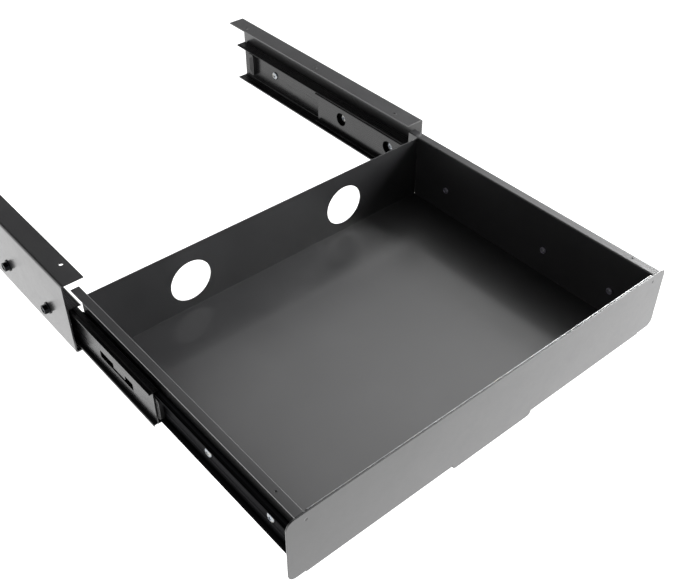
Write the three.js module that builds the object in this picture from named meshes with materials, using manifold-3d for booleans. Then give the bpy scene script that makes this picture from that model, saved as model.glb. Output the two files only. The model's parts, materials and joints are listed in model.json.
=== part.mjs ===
// Under desk drawer: a folded steel tray behind a flat front panel. It hangs between two channel brackets
// on a pair of three-section ball slides.
// Millimetres, +Z up, the front faces -Y. The origin is the centre of the plane where the brackets meet
// the underside of the desk. At rest the drawer stands fully open, against its out stops.
import * as THREE from "three";
import { mergeVertices } from "three/addons/utils/BufferGeometryUtils.js";
import Module from "manifold-3d";

const wasm = await Module();
wasm.setup();

// ---------------------------------------------------------------- driving dimensions

// Clearances
const seatGap = 0.3; // between two pieces that are fastened face to face
const holeGap = 0.3; // radial room of a screw in its hole
const ballGap = 0.15; // between a ball and its races
const panelGap = 2.5; // from the closed front panel to the brackets
const railGap = 1.1; // from the drawer rail's tips to the middle rail's web
const cutOver = 1; // how far a cutting tool runs past a face
const cutLength = 10; // length of the round tools that cut holes through sheet

// Tray, folded from one sheet
const traySheet = 1.2;
const trayInnerWidth = 469;
const trayInnerDepth = 355.4;
const trayInnerHeight = 85.3; // from the floor to the top of the side flanges
const trayBend = 1.2; // bend radius at mid sheet
const flangeWidth = 9.3; // how far a flange stands out from its side wall
const tailLength = 15.2; // how far the side walls run on behind the back wall
const tailRise = 5.3; // the tail's lower edge above the floor
const backWallDrop = 1.5; // the top of the back wall below the flanges
const frontWallDrop = 0.8;
const reliefRadius = 1.3; // round relief in each bottom corner
const reliefHeight = 4;
const notchWidth = 2.4; // relief at the two upper ends of the front wall
const notchDepth = 4;
const cableHoleRadius = 26.4;
const cableHoleSpacing = 224.8;
const cableHoleRise = 37; // hole centres above the floor

// Front panel, a flat plate
const panelSheet = 1.5;
const panelHeight = 80.8;
const panelCorner = 9;
const tabWidth = 112; // finger pull at the middle of the lower edge
const tabDrop = 7.2;
const tabCorner = 5;

// Slides: the drawer rail runs in the middle rail, and the middle rail in the cabinet rail
const railDrop = 51.7; // centre line of the slides below the flanges
const ballRadius = 2;
const innerSheet = 1.2; // drawer rail and middle rail
const outerSheet = 1.5; // cabinet rail
const drawerRailHeight = 35.5;
const drawerRailDepth = 7.8;
const raceDip = 0.75; // depth of the ball race formed in the drawer rail
const raceHalf = 1.2; // half the flat width of a ball race
const raceRun = 1.3; // width of the slopes beside it
const ballEdge = 0.6; // from a row of balls to the tips of the arms they run on
const lipShort = 0.2; // the middle rail's lips end this far short of the balls' far side
const middleOuterArm = 4.1; // the middle rail's arms, from its web towards the cabinet rail
const middleRaceDip = 0.6;
const middleTipRise = 1.6;
const outerChannelGap = 1.8; // from the middle rail's tips to the cabinet rail's web
const cabinetArm = 16.1;
const lipTurn = 0.9; // how far the rails' lips turn in over the balls
const railBend = 1.8;
const armBend = 0.8; // on the middle rail's arms
const middleShare = 0.42; // travel of the middle rail for each unit of the drawer's
const middleInset = 1; // closed, the middle rail sits this far behind the cabinet rail's front end
const middleShortfall = 23; // the middle rail is shorter than the drawer rail
const cabinetSurplus = 7; // the cabinet rail is longer than the drawer rail
const railFrontInset = 1.5; // the drawer rail's front end behind the panel
const stopOverlap = 3; // length of tray that stays inside the brackets when it is open
const cage = { frontRoom: 12, rearRoom: 31, width: 2.6, thickness: 0.8, ballPitch: 25 };

// Openings in the middle rail's web
const slotFront = 42; // from the rail's front end
const slotLength = 65;
const slotHeight = 10;
const slotDrop = 4; // slot centre below the slide's centre line
const tongueStart = 15; // the stop tongue, left standing in the slot
const tongueLength = 23;
const tongueHeight = 6;
const accessRadius = 7.5; // round openings that let a driver reach the cabinet rail's screws

// Brackets
const bracketSheet = 1.6;
const bracketFootGap = 0.5; // from the cabinet rail down to the bottom flange
const bracketBend = 2.2;
const topFlangeWidth = 26;
const bottomFlangeWidth = 16.4;
const deskGap = 12; // from the desk's underside to the tray's flanges
const railInset = 3.5; // the cabinet rail's front end behind the bracket's
const railRearInset = 3.7; // and its rear end in front of the bracket's
const deskScrewRadius = 2.5;
const deskScrewEdge = 8; // from the flange's free edge to the hole centres
const deskScrewEnd = 33; // from the bracket's ends to the end holes

// Fasteners
const gridPitch = 32; // slides are drilled on this grid
const secondScrew = 3; // grid steps from a rail's first screw
const lastScrewRoom = 30; // least length of middle rail behind the last screw
const drawerScrewFirst = 43.5; // from the drawer rail's front end
const cabinetScrewFirst = 49; // from the cabinet rail's front end
const drawerScrew = { shank: 2, head: 5.2, rise: 2, socket: 1.5 };
const cabinetScrew = { shank: 3, head: 5.8, rise: 2.1, socket: 2 };
const clinchNut = { radius: 4, thickness: 1.6 };
const flangeNut = { acrossFlats: 10, height: 6, flangeRadius: 7.1, flangeThickness: 1.2 };
const boltInset = 0.8; // the cabinet bolts end this far inside their flange nuts
const threadInset = 0.4; // the drawer rail's screws end this far inside their clinch nuts
const screwCrown = 1.2; // the crown's flat ends this far inside the head's rim
const screwShoulder = 0.3; // the shoulder, this far
const screwTip = 0.5; // chamfer at the thread's end

// Plastic buffers
const frontBuffer = { length: 18, height: 29, corner: 5 };
const frontBufferGap = 0.5; // from it to the screw heads that pass under it
const frontBufferLead = 6; // how far it stands out in front of the middle rail
const rearBuffer = { length: 12, height: 34, corner: 3 };
const rearBufferThickness = 6;
const rearBufferGap = 2; // from the closed middle rail

// ---------------------------------------------------------------- finishes

function finish(color, roughness, metalness) {
  return new THREE.MeshStandardMaterial({ color, roughness, metalness });
}

const blackPaint = finish(0x2b2b2c, 0.32, 0.35);
const blackRail = finish(0x141415, 0.3, 0.6);
const zinc = finish(0xc9cbd0, 0.28, 1);
const blackZinc = finish(0x1b1b1d, 0.4, 0.7);
const ballSteel = finish(0xd6d8dc, 0.15, 1);
const blackPlastic = finish(0x101011, 0.35, 0);

// ---------------------------------------------------------------- solids and sections

// A closed mesh as a solid for joining and cutting.
function solidOf(geometry) {
  const bare = geometry.clone();
  bare.deleteAttribute("normal");
  bare.deleteAttribute("uv");
  const merged = mergeVertices(bare, 1e-4);
  const mesh = new wasm.Mesh({
    numProp: 3,
    vertProperties: merged.attributes.position.array,
    triVerts: new Uint32Array(merged.index.array),
  });
  return new wasm.Manifold(mesh);
}

// A solid back as a mesh geometry with flat faces.
function geometryOf(solid) {
  const mesh = solid.getMesh();
  const indexed = new THREE.BufferGeometry();
  indexed.setAttribute("position", new THREE.BufferAttribute(mesh.vertProperties, mesh.numProp));
  indexed.setIndex(new THREE.BufferAttribute(mesh.triVerts, 1));
  const flat = indexed.toNonIndexed();
  flat.computeVertexNormals();
  return flat;
}

// Replaces each inner corner of an open path with an arc.
function roundPath(points, radius) {
  const path = points.map(([x, y]) => new THREE.Vector2(x, y));
  const out = [path[0]];
  for (let i = 1; i < path.length - 1; i += 1) {
    const corner = path[i];
    const toLast = path[i - 1].clone().sub(corner);
    const toNext = path[i + 1].clone().sub(corner);
    const room = 0.45 * Math.min(toLast.length(), toNext.length());
    toLast.normalize();
    toNext.normalize();
    const halfAngle = Math.acos(THREE.MathUtils.clamp(toLast.dot(toNext), -1, 1)) / 2;
    const cut = Math.min(radius / Math.tan(halfAngle), room);
    const start = corner.clone().addScaledVector(toLast, cut);
    const end = corner.clone().addScaledVector(toNext, cut);
    const steps = halfAngle < 1 ? 4 : 2;
    const curve = new THREE.QuadraticBezierCurve(start, corner, end);
    out.push(...curve.getPoints(steps));
  }
  out.push(path[path.length - 1]);
  return out;
}

// The outline of bent sheet: an open path at mid thickness, with the sheet's thickness put on it.
function sheetSection(points, thickness, bend) {
  const path = roundPath(points, bend);
  const sides = [[], []];
  path.forEach((point, i) => {
    const before = path[Math.max(i - 1, 0)];
    const after = path[Math.min(i + 1, path.length - 1)];
    const inDirection = point.clone().sub(before);
    const outDirection = after.clone().sub(point);
    if (i === 0) inDirection.copy(outDirection);
    if (i === path.length - 1) outDirection.copy(inDirection);
    const inNormal = new THREE.Vector2(-inDirection.y, inDirection.x).normalize();
    const outNormal = new THREE.Vector2(-outDirection.y, outDirection.x).normalize();
    const mitre = inNormal.clone().add(outNormal).normalize();
    const reach = thickness / 2 / mitre.dot(inNormal);
    sides[0].push(point.clone().addScaledVector(mitre, reach));
    sides[1].push(point.clone().addScaledVector(mitre, -reach));
  });
  return new THREE.Shape([...sides[0], ...sides[1].reverse()]);
}

// Extrudes a section that is drawn in X and Z along Y, from its front end.
function alongY(section, front, length) {
  const options = { depth: length, bevelEnabled: false, curveSegments: 8 };
  const geometry = new THREE.ExtrudeGeometry(section, options);
  geometry.rotateX(Math.PI / 2);
  geometry.translate(0, front + length, 0);
  return geometry;
}

// Extrudes a section that is drawn in Y and Z along X, centred on the middle plane.
function alongX(section, width) {
  const options = { depth: width, bevelEnabled: false, curveSegments: 8 };
  const geometry = new THREE.ExtrudeGeometry(section, options);
  geometry.translate(0, 0, -width / 2);
  geometry.rotateY(Math.PI / 2);
  geometry.rotateX(Math.PI / 2);
  return geometry;
}

// A block given by its lowest and highest corners.
function block(low, high) {
  const size = high.map((value, i) => value - low[i]);
  const geometry = new THREE.BoxGeometry(...size);
  geometry.translate(...high.map((value, i) => (value + low[i]) / 2));
  return geometry;
}

// A round bar along one axis, centred on a point.
function bar(axis, centre, radius, length, sides) {
  const geometry = new THREE.CylinderGeometry(radius, radius, length, sides);
  if (axis === "x") geometry.rotateZ(-Math.PI / 2);
  if (axis === "z") geometry.rotateX(Math.PI / 2);
  geometry.translate(...centre);
  return geometry;
}

function mirrored(points) {
  return [...points, ...points.map(([u, v]) => [u, -v]).reverse()];
}

const part = new THREE.Group();

function addMesh(name, geometry, material) {
  const mesh = new THREE.Mesh(geometry, material);
  mesh.name = name;
  part.add(mesh);
}

// ---------------------------------------------------------------- places worked out from the dimensions

// Heights
const flangeTop = -deskGap;
const floorTop = flangeTop - trayInnerHeight;
const slideCentre = flangeTop - railDrop;

// Across: u is the distance from the middle plane
const wallInner = trayInnerWidth / 2;
const wallOuter = wallInner + traySheet;
const drawerWeb = wallOuter + seatGap + innerSheet / 2;
const drawerTip = drawerWeb - innerSheet / 2 + drawerRailDepth;
const middleWeb = drawerTip + railGap + innerSheet / 2;
const ballSetBack = ballRadius + ballEdge;
const middleInnerArm = railGap + ballSetBack + ballRadius - lipShort;
const middleInnerTip = middleWeb - innerSheet / 2 - middleInnerArm;
const middleOuterTip = middleWeb + innerSheet / 2 + middleOuterArm;
const cabinetWeb = middleOuterTip + outerChannelGap + outerSheet / 2;
const cabinetTip = cabinetWeb + outerSheet / 2 - cabinetArm;
const plateInner = cabinetWeb + outerSheet / 2 + seatGap;
const plateOuter = plateInner + bracketSheet;
const drawerBore = drawerScrew.shank + holeGap;
const cabinetBore = cabinetScrew.shank + holeGap;

// Across the slides' height: v is the distance from their centre line, to mid sheet
const drawerFlat = drawerRailHeight / 2 - innerSheet / 2;
const drawerRace = drawerFlat - raceDip;
const innerBallV = drawerRace + innerSheet / 2 + ballGap + ballRadius;
const middleArmV = innerBallV + ballRadius + ballGap + innerSheet / 2;
const middleRaceV = middleArmV - middleRaceDip;
const outerBallV = middleRaceV + innerSheet / 2 + ballGap + ballRadius;
const cabinetArmV = outerBallV + ballRadius + ballGap + outerSheet / 2;
const slideFoot = slideCentre - cabinetArmV - outerSheet / 2;
const bracketFoot = slideFoot - bracketFootGap - bracketSheet;
const innerBallU = drawerTip - ballSetBack;
const outerBallU = middleOuterTip - ballSetBack;

// Lengthwise, with the drawer open
const wallFront = seatGap;
const backWallInner = wallFront + traySheet + trayInnerDepth;
const tailEnd = backWallInner + traySheet + tailLength;
const travel = tailEnd - stopOverlap - panelGap;
const drawerRailLength = tailEnd - railFrontInset;
const middleRailLength = drawerRailLength - middleShortfall;
const cabinetRailLength = drawerRailLength + cabinetSurplus;
const bracketLength = railInset + cabinetRailLength + railRearInset;
const bracketFront = -bracketLength / 2;
const panelBack = bracketFront - panelGap - travel;
const drawerRailFront = panelBack + railFrontInset;
const drawerRailRear = drawerRailFront + drawerRailLength;
const cabinetRailFront = bracketFront + railInset;
const middleTravel = travel * middleShare;
const middleRailFront = cabinetRailFront + middleInset - middleTravel;
const middleRailRear = middleRailFront + middleRailLength;

// Screws along a rail, from its first one, on the drilling grid
const lastReach = middleRailLength - cabinetScrewFirst - lastScrewRoom;
const lastScrew = Math.floor(lastReach / gridPitch);
const screwPitches = [0, secondScrew, lastScrew].map((steps) => steps * gridPitch);

// ---------------------------------------------------------------- tray

function tray() {
  const half = traySheet / 2;
  const floorMid = floorTop - half;
  const flangeMid = flangeTop - half;
  const wallMid = wallInner + half;
  const flangeTip = wallOuter + flangeWidth;
  const leftSide = [
    [-flangeTip, flangeMid],
    [-wallMid, flangeMid],
    [-wallMid, floorMid],
  ];
  const rightSide = leftSide.map(([x, z]) => [-x, z]).reverse();
  const acrossSection = sheetSection([...leftSide, ...rightSide], traySheet, trayBend);
  const sides = solidOf(alongY(acrossSection, panelBack + wallFront, tailEnd - wallFront));

  const frontMid = panelBack + wallFront + half;
  const backMid = panelBack + backWallInner + half;
  const endWalls = [
    [frontMid, flangeTop - frontWallDrop],
    [frontMid, floorMid],
    [backMid, floorMid],
    [backMid, flangeTop - backWallDrop],
  ];
  const lengthSection = sheetSection(endWalls, traySheet, trayBend);
  const floorAndEnds = solidOf(alongX(lengthSection, 2 * (wallInner - trayBend)));

  // The end walls reach into the side walls above the bends.
  const endLow = floorTop + trayBend;
  const ends = [
    [frontMid, flangeTop - frontWallDrop],
    [backMid, flangeTop - backWallDrop],
  ].map(([mid, top]) => solidOf(block([-wallMid, mid - half, endLow], [wallMid, mid + half, top])));

  const tools = [];
  for (const side of [-1, 1]) {
    const holeX = (side * cableHoleSpacing) / 2;
    tools.push(bar("y", [holeX, backMid, floorTop + cableHoleRise], cableHoleRadius, cutLength, 40));
    const notchInner = side * (wallInner - notchWidth);
    const notchX = [notchInner, side * wallInner].sort((a, b) => a - b);
    tools.push(
      block(
        [notchX[0], frontMid - traySheet, flangeTop - notchDepth],
        [notchX[1], frontMid + traySheet, flangeTop + cutOver],
      ),
    );
    for (const cornerY of [frontMid + half, backMid - half]) {
      tools.push(bar("z", [side * wallInner, cornerY, floorMid], reliefRadius, reliefHeight, 10));
    }
    for (const pitch of screwPitches) {
      const screwY = drawerRailFront + drawerScrewFirst + pitch;
      tools.push(bar("x", [side * wallMid, screwY, slideCentre], drawerBore, cutLength, 12));
    }
  }
  // Behind the back wall only the side walls run on.
  const tailCut = block(
    [-wallOuter - cutOver, backMid + half, floorMid - traySheet - cutOver],
    [wallOuter + cutOver, panelBack + tailEnd + cutOver, floorTop + tailRise],
  );
  tools.push(tailCut);

  let body = sides.add(floorAndEnds).add(ends[0]).add(ends[1]);
  for (const tool of tools) body = body.subtract(solidOf(tool));
  return geometryOf(body);
}

addMesh("tray", tray(), blackPaint);

// ---------------------------------------------------------------- front panel

function frontPanel() {
  const halfWidth = plateOuter;
  const low = -panelHeight;
  const r = panelCorner;
  const halfTab = tabWidth / 2;
  const tabCentre = low - tabDrop + tabCorner;
  const outline = new THREE.Shape();
  outline.moveTo(-halfWidth + r, 0);
  outline.absarc(-halfWidth + r, -r, r, Math.PI / 2, Math.PI, false);
  outline.absarc(-halfWidth + r, low + r, r, Math.PI, 1.5 * Math.PI, false);
  outline.lineTo(-halfTab, low);
  outline.absarc(-halfTab + tabCorner, tabCentre, tabCorner, Math.PI, 1.5 * Math.PI, false);
  outline.absarc(halfTab - tabCorner, tabCentre, tabCorner, 1.5 * Math.PI, 2 * Math.PI, false);
  outline.lineTo(halfTab, low);
  outline.absarc(halfWidth - r, low + r, r, 1.5 * Math.PI, 2 * Math.PI, false);
  outline.absarc(halfWidth - r, -r, r, 0, Math.PI / 2, false);
  const geometry = alongY(outline, panelBack - panelSheet, panelSheet);
  geometry.translate(0, 0, flangeTop);
  return geometryOf(solidOf(geometry));
}

addMesh("front_panel", frontPanel(), blackPaint);

// ---------------------------------------------------------------- slides

// Places a slide's section, drawn as [u, v], on one side of the drawer.
function onSide(side, points) {
  return points.map(([u, v]) => [side * u, slideCentre + v]);
}

function drawerRail(side) {
  const upper = [
    [drawerTip, drawerFlat],
    [innerBallU + raceHalf, drawerRace],
    [innerBallU - raceHalf, drawerRace],
    [innerBallU - raceHalf - raceRun, drawerFlat],
    [drawerWeb, drawerFlat],
  ];
  const section = sheetSection(onSide(side, mirrored(upper)), innerSheet, railBend);
  let body = solidOf(alongY(section, drawerRailFront, drawerRailLength));
  for (const pitch of screwPitches) {
    const centre = [side * drawerWeb, drawerRailFront + drawerScrewFirst + pitch, slideCentre];
    body = body.subtract(solidOf(bar("x", centre, drawerBore, cutLength, 12)));
  }
  return geometryOf(body);
}

function middleRail(side) {
  const arm = [
    [middleInnerTip, middleArmV - lipTurn],
    [middleInnerTip + lipTurn, middleArmV],
    [outerBallU - raceHalf - raceRun, middleArmV],
    [outerBallU - raceHalf, middleRaceV],
    [outerBallU + raceHalf, middleRaceV],
    [middleOuterTip, middleRaceV + middleTipRise],
  ];
  const lowerArm = arm.map(([u, v]) => [u, -v]);
  const web = block(
    [side * middleWeb - innerSheet / 2, middleRailFront, slideCentre - middleRaceV],
    [side * middleWeb + innerSheet / 2, middleRailFront + middleRailLength, slideCentre + middleRaceV],
  );
  let body = solidOf(web);
  for (const path of [arm, lowerArm]) {
    const section = sheetSection(onSide(side, path), innerSheet, armBend);
    body = body.add(solidOf(alongY(section, middleRailFront, middleRailLength)));
  }

  // A slot with a stop tongue standing in it
  const webLow = side * middleWeb - innerSheet;
  const webHigh = side * middleWeb + innerSheet;
  const slotStart = middleRailFront + slotFront;
  const slotTop = slideCentre - slotDrop + slotHeight / 2;
  const slot = block(
    [webLow, slotStart, slotTop - slotHeight],
    [webHigh, slotStart + slotLength, slotTop],
  );
  const tongue = block(
    [webLow, slotStart + tongueStart, slotTop - tongueHeight],
    [webHigh, slotStart + tongueStart + tongueLength, slotTop + cutOver],
  );
  body = body.subtract(solidOf(slot).subtract(solidOf(tongue)));
  for (const pitch of screwPitches.slice(0, 2)) {
    const accessY = cabinetRailFront + cabinetScrewFirst + pitch;
    const access = bar("x", [side * middleWeb, accessY, slideCentre], accessRadius, cutLength, 20);
    body = body.subtract(solidOf(access));
  }
  return geometryOf(body);
}

function cabinetRail(side) {
  const upper = [
    [cabinetTip, cabinetArmV - lipTurn],
    [cabinetTip + lipTurn, cabinetArmV],
    [cabinetWeb, cabinetArmV],
  ];
  const section = sheetSection(onSide(side, mirrored(upper)), outerSheet, railBend);
  let body = solidOf(alongY(section, cabinetRailFront, cabinetRailLength));
  for (const pitch of screwPitches) {
    const centre = [side * cabinetWeb, cabinetRailFront + cabinetScrewFirst + pitch, slideCentre];
    body = body.subtract(solidOf(bar("x", centre, cabinetBore, cutLength, 12)));
  }
  return geometryOf(body);
}

// A strip of sheet that keeps a row of balls apart. It lies between the front end of the rail around it
// and the rear end of the rail inside it.
function ballCage(side, railFront, railRear, ballU, ballV, stripV) {
  const front = railFront + cage.frontRoom;
  const length = railRear - cage.rearRoom - front;
  const strip = block(
    [side * ballU - cage.width / 2, front, slideCentre + stripV - cage.thickness / 2],
    [side * ballU + cage.width / 2, front + length, slideCentre + stripV + cage.thickness / 2],
  );
  let body = solidOf(strip);
  const balls = Math.floor(length / cage.ballPitch);
  for (let i = 0; i < balls; i += 1) {
    const ball = new THREE.SphereGeometry(ballRadius, 6, 4);
    ball.translate(side * ballU, front + ((i + 0.5) * length) / balls, slideCentre + ballV);
    body = body.add(solidOf(ball));
  }
  return geometryOf(body);
}

// ---------------------------------------------------------------- fasteners

// A pan head screw on the X axis. It turns its head to the middle plane, and u runs outward.
function panScrew(size, headSeat, shankEnd) {
  const profile = [
    [0, headSeat - size.rise],
    [size.head - screwCrown, headSeat - size.rise],
    [size.head - screwShoulder, headSeat - size.rise / 2],
    [size.head, headSeat],
    [size.shank, headSeat],
    [size.shank, shankEnd - screwTip],
    [size.shank - screwTip, shankEnd],
    [0, shankEnd],
  ];
  const points = profile.map(([radius, u]) => new THREE.Vector2(radius, u));
  const body = new THREE.LatheGeometry(points, 12);
  const socketLength = 1.5 * size.rise; // half of it lies in the head
  const socket = new THREE.CylinderGeometry(size.socket, size.socket, socketLength, 6);
  socket.translate(0, headSeat - size.rise, 0);
  const solid = solidOf(body).subtract(solidOf(socket));
  const geometry = geometryOf(solid);
  geometry.rotateZ(-Math.PI / 2);
  return geometry;
}

// Turns a piece that is drawn for the right side to either side, and sets it at its place.
function placeOnSide(geometry, side, y, z) {
  if (side < 0) geometry.rotateZ(Math.PI);
  geometry.translate(0, y, z);
  return geometry;
}

function ringNut(inner, outer, low, high, sides) {
  const points = [
    [inner, low],
    [outer, low],
    [outer, high],
    [inner, high],
    [inner, low],
  ].map(([radius, u]) => new THREE.Vector2(radius, u));
  return new THREE.LatheGeometry(points, sides);
}

function hexFlangeNut(seat) {
  const flangeEnd = seat + flangeNut.flangeThickness;
  const flange = new THREE.CylinderGeometry(
    flangeNut.flangeRadius,
    flangeNut.flangeRadius,
    flangeNut.flangeThickness,
    12,
  );
  flange.translate(0, seat + flangeNut.flangeThickness / 2, 0);
  const cornerRadius = flangeNut.acrossFlats / Math.sqrt(3);
  const hexLow = flangeEnd - flangeNut.flangeThickness / 2;
  const hexLength = seat + flangeNut.height - hexLow;
  const hex = new THREE.CylinderGeometry(cornerRadius, cornerRadius, hexLength, 6);
  hex.translate(0, hexLow + hexLength / 2, 0);
  const middle = seat + flangeNut.height / 2;
  const bore = bar("y", [0, middle, 0], cabinetBore, flangeNut.height + 2 * cutOver, 12);
  const geometry = geometryOf(solidOf(flange).add(solidOf(hex)).subtract(solidOf(bore)));
  geometry.rotateZ(-Math.PI / 2);
  return geometry;
}

// ---------------------------------------------------------------- buffers

// A moulded block with rounded corners, between the plane at u and the one a thickness further on.
function buffer(size, u, thickness, front) {
  const radius = size.corner;
  const width = size.length;
  const height = size.height;
  const shape = new THREE.Shape();
  shape.moveTo(radius, 0);
  shape.absarc(width - radius, radius, radius, -Math.PI / 2, 0, false);
  shape.absarc(width - radius, height - radius, radius, 0, Math.PI / 2, false);
  shape.absarc(radius, height - radius, radius, Math.PI / 2, Math.PI, false);
  shape.absarc(radius, radius, radius, Math.PI, 1.5 * Math.PI, false);
  const options = { depth: Math.abs(thickness), bevelEnabled: false, curveSegments: 4 };
  const geometry = new THREE.ExtrudeGeometry(shape, options);
  geometry.rotateY(Math.PI / 2);
  geometry.rotateX(Math.PI / 2);
  geometry.translate(Math.min(u, u + thickness), front, slideCentre - height / 2);
  return geometry;
}

// ---------------------------------------------------------------- brackets

function bracket(side) {
  const half = bracketSheet / 2;
  const plate = plateInner + half;
  const path = [
    [plateOuter - topFlangeWidth, -half],
    [plate, -half],
    [plate, bracketFoot + half],
    [plateOuter - bottomFlangeWidth, bracketFoot + half],
  ].map(([u, z]) => [side * u, z]);
  const section = sheetSection(path, bracketSheet, bracketBend);
  let body = solidOf(alongY(section, bracketFront, bracketLength));
  for (const pitch of screwPitches) {
    const centre = [side * plate, cabinetRailFront + cabinetScrewFirst + pitch, slideCentre];
    body = body.subtract(solidOf(bar("x", centre, cabinetBore, cutLength, 12)));
  }
  const holeX = side * (plateOuter - topFlangeWidth + deskScrewEdge);
  for (const end of [-1, 0, 1]) {
    const centre = [holeX, end * (bracketLength / 2 - deskScrewEnd), -half];
    body = body.subtract(solidOf(bar("z", centre, deskScrewRadius, cutLength, 12)));
  }
  return geometryOf(body);
}

// ---------------------------------------------------------------- both sides

const outerStripV = outerBallV + cage.thickness;
const screwCrownU = drawerWeb + innerSheet / 2 + seatGap + drawerScrew.rise;
const frontBufferU = middleWeb - innerSheet / 2 - seatGap;
const frontBufferThickness = frontBufferU - screwCrownU - frontBufferGap;
const rearBufferU = cabinetWeb - outerSheet / 2 - seatGap;
const closedMiddleRear = middleRailRear + middleTravel;
const nutHigh = wallInner - seatGap;
const nutLow = nutHigh - clinchNut.thickness;

for (const [name, side] of [
  ["left", -1],
  ["right", 1],
]) {
  addMesh(name + "_bracket", bracket(side), blackPaint);
  addMesh(name + "_cabinet_rail", cabinetRail(side), blackRail);
  addMesh(name + "_middle_rail", middleRail(side), blackRail);
  addMesh(name + "_drawer_rail", drawerRail(side), blackRail);

  for (const [row, sign] of [
    ["upper", 1],
    ["lower", -1],
  ]) {
    const innerV = sign * innerBallV;
    const inner = ballCage(side, middleRailFront, drawerRailRear, innerBallU, innerV, innerV);
    addMesh(name + "_inner_ball_cage_" + row, inner, ballSteel);
    const outerV = sign * outerBallV;
    const stripV = sign * outerStripV;
    const outer = ballCage(side, cabinetRailFront, middleRailRear, outerBallU, outerV, stripV);
    addMesh(name + "_outer_ball_cage_" + row, outer, ballSteel);
  }

  screwPitches.forEach((pitch, i) => {
    const place = i + 1;
    const drawerY = drawerRailFront + drawerScrewFirst + pitch;
    // Its head lies on the drawer rail's web and its thread runs in, through the wall, to the clinch nut.
    const seat = -(drawerWeb + innerSheet / 2 + seatGap);
    const threadEnd = -(nutLow + threadInset);
    const screw = panScrew(drawerScrew, seat, threadEnd);
    addMesh(name + "_drawer_rail_screw_" + place, placeOnSide(screw, -side, drawerY, slideCentre), zinc);

    const nut = ringNut(drawerBore, clinchNut.radius, nutLow, nutHigh, 12);
    nut.rotateZ(-Math.PI / 2);
    addMesh(name + "_clinch_nut_" + place, placeOnSide(nut, side, drawerY, slideCentre), blackZinc);

    const cabinetY = cabinetRailFront + cabinetScrewFirst + pitch;
    const cabinetSeat = cabinetWeb - outerSheet / 2 - seatGap;
    const nutSeat = plateOuter + seatGap;
    const bolt = panScrew(cabinetScrew, cabinetSeat, nutSeat + flangeNut.height - boltInset);
    addMesh(name + "_cabinet_rail_bolt_" + place, placeOnSide(bolt, side, cabinetY, slideCentre), zinc);
    const flangeNutMesh = placeOnSide(hexFlangeNut(nutSeat), side, cabinetY, slideCentre);
    addMesh(name + "_flange_nut_" + place, flangeNutMesh, blackZinc);
  });

  const frontBufferFront = middleRailFront - frontBufferLead;
  const frontInward = -side * frontBufferThickness;
  const frontBlock = buffer(frontBuffer, side * frontBufferU, frontInward, frontBufferFront);
  addMesh(name + "_front_buffer", frontBlock, blackPlastic);
  const rearBufferFront = closedMiddleRear + rearBufferGap;
  const rearInward = -side * rearBufferThickness;
  const rearBlock = buffer(rearBuffer, side * rearBufferU, rearInward, rearBufferFront);
  addMesh(name + "_rear_buffer", rearBlock, blackPlastic);
}

export default part;
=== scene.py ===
# %% [markdown]
# # Under desk drawer
# A shallow steel drawer hangs under a desk between two channel brackets. It runs on a pair of slides,
# each made of three rolled rails with balls between them. The engineering model gives every piece its
# place. This script gives each piece a fine mesh and a finish, then lights it and looks at it.

# %% Load the frame
import json
import math
import bmesh
import bpy
from mathutils import Matrix, Vector


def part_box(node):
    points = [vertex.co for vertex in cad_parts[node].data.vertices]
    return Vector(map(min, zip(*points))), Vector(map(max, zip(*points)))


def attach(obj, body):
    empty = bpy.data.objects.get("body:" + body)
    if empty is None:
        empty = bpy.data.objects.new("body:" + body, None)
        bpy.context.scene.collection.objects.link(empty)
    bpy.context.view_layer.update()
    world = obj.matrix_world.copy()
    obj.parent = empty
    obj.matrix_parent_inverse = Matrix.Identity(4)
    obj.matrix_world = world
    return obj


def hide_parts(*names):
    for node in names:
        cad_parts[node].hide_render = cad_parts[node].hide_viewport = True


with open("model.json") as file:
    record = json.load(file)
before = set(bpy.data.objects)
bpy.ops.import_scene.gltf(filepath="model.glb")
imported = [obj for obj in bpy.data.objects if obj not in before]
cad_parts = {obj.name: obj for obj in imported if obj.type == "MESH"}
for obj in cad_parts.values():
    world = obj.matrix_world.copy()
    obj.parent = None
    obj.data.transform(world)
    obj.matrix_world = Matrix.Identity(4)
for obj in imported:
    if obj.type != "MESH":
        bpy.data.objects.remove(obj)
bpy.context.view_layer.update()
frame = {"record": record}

# %% [markdown]
# ## Camera
# The camera looks down into the open drawer from its front left. A 52 mm lens about a metre away keeps
# the perspective of a product picture: the front panel looks a little larger than the brackets.

# %% Camera
CAMERA_PLACE = Vector((-0.5305, -0.9567, 0.6447))
CAMERA_TARGET = Vector((0.0311, -0.2937, -0.0973))
camera_data = bpy.data.cameras.new("camera")
camera_data.lens = 52.0
camera_data.sensor_width = 36.0
camera = bpy.data.objects.new("camera", camera_data)
camera.location = CAMERA_PLACE
look = CAMERA_TARGET - CAMERA_PLACE
camera.rotation_euler = look.to_track_quat("-Z", "Y").to_euler()
bpy.context.scene.collection.objects.link(camera)
bpy.context.scene.camera = camera
print("camera distance, m:", round(look.length, 3))

# %% [markdown]
# ## Sizes
# The drawer is drawn in millimetres, as a sheet metal shop would. Places come from the engineering
# model's own boxes, so a piece can't drift away from the joint that moves it. Only thicknesses, radii
# and details too small for those boxes are written down here.

# %% Sizes
MM = 0.001
SIDES = {"left": -1, "right": 1}
ROWS = {"upper": 1, "lower": -1}


def box_mm(node):
    low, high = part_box(node)
    return [[value / MM for value in corner] for corner in (low, high)]


def size_mm(node):
    low, high = box_mm(node)
    return [round(b - a, 1) for a, b in zip(low, high)]


def both_sides(make):
    """Runs a function that makes one piece for the left and for the right."""
    for name, side in SIDES.items():
        make(name, side)


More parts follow.
